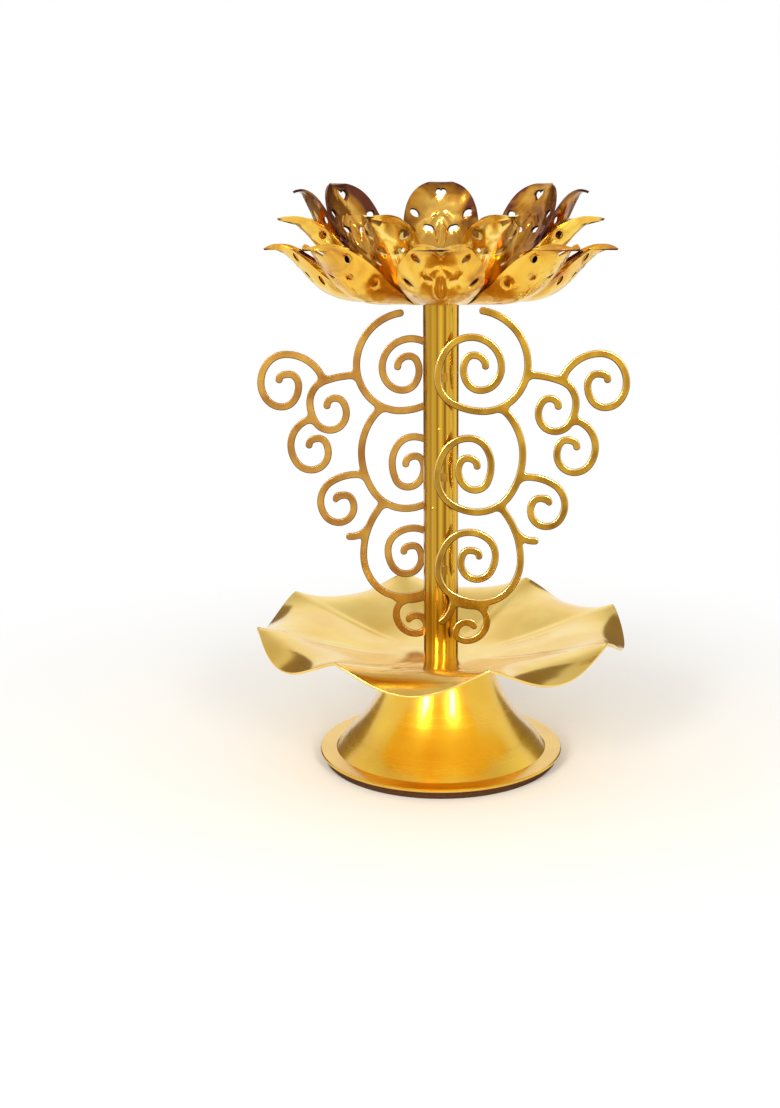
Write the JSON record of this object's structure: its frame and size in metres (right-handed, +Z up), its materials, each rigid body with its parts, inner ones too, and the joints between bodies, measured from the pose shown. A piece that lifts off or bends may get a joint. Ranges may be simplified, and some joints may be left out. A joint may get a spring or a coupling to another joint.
{
  "type": "butter lamp",
  "caption": "Free-standing butter lamp: pierced lotus cup of turnable petal tiers on a stem with scroll panels, over a wavy leaf dish and a bell foot.",
  "frame": {"origin": "middle of the underside, where the lamp rests", "axes": "+Z up along the stem; -Y is the front, towards which the upper petal tier is open; +X is the side whose scroll panel lies in front of the stem"},
  "size_m": [0.0896, 0.0896, 0.1399],
  "materials": {
    "foot_gold": "spun and polished, gold plated",
    "dish_gold": "pressed sheet, bright pale gold plate",
    "stem_gold": "drawn tube, gold plated",
    "scroll_gold": "stamped plate, antique gold plate",
    "petal_gold": "stamped sheet, gold plated, dark cut edges",
    "fastener_steel": "plain zinc-plated",
    "solder": "braze metal",
    "foot_disc": "matt dark sheet"
  },
  "bodies": {
    "stand": {"foot_disc": "foot_disc", "base_shell": "foot_gold", "base_washer": "fastener_steel", "base_screw": "fastener_steel", "leaf_dish": "dish_gold", "stem_tube": "stem_gold", "stem_plug_lower": "fastener_steel", "stem_plug_upper": "fastener_steel", "scroll_panel_right": "scroll_gold", "scroll_panel_left": "scroll_gold", "panel_solder": "solder", "tier_spacer_lower": "fastener_steel", "tier_spacer_upper": "fastener_steel", "lotus_washer": "fastener_steel", "lotus_screw": "fastener_steel"},
    "lower_tier": {"lotus_tier_lower": "petal_gold"},
    "middle_tier": {"lotus_tier_middle": "petal_gold"},
    "upper_tier": {"lotus_tier_upper": "petal_gold"}
  },
  "joints": [
    {"name": "lower_tier_turn", "type": "hinge", "parent": "stand", "child": "lower_tier", "pos_m": [0, 0, 0.1113], "axis": [0, 0, 1], "continuous": true},
    {"name": "middle_tier_turn", "type": "hinge", "parent": "stand", "child": "middle_tier", "pos_m": [0, 0, 0.1128], "axis": [0, 0, 1], "continuous": true},
    {"name": "upper_tier_turn", "type": "hinge", "parent": "stand", "child": "upper_tier", "pos_m": [0, 0, 0.1143], "axis": [0, 0, 1], "continuous": true}
  ]
}
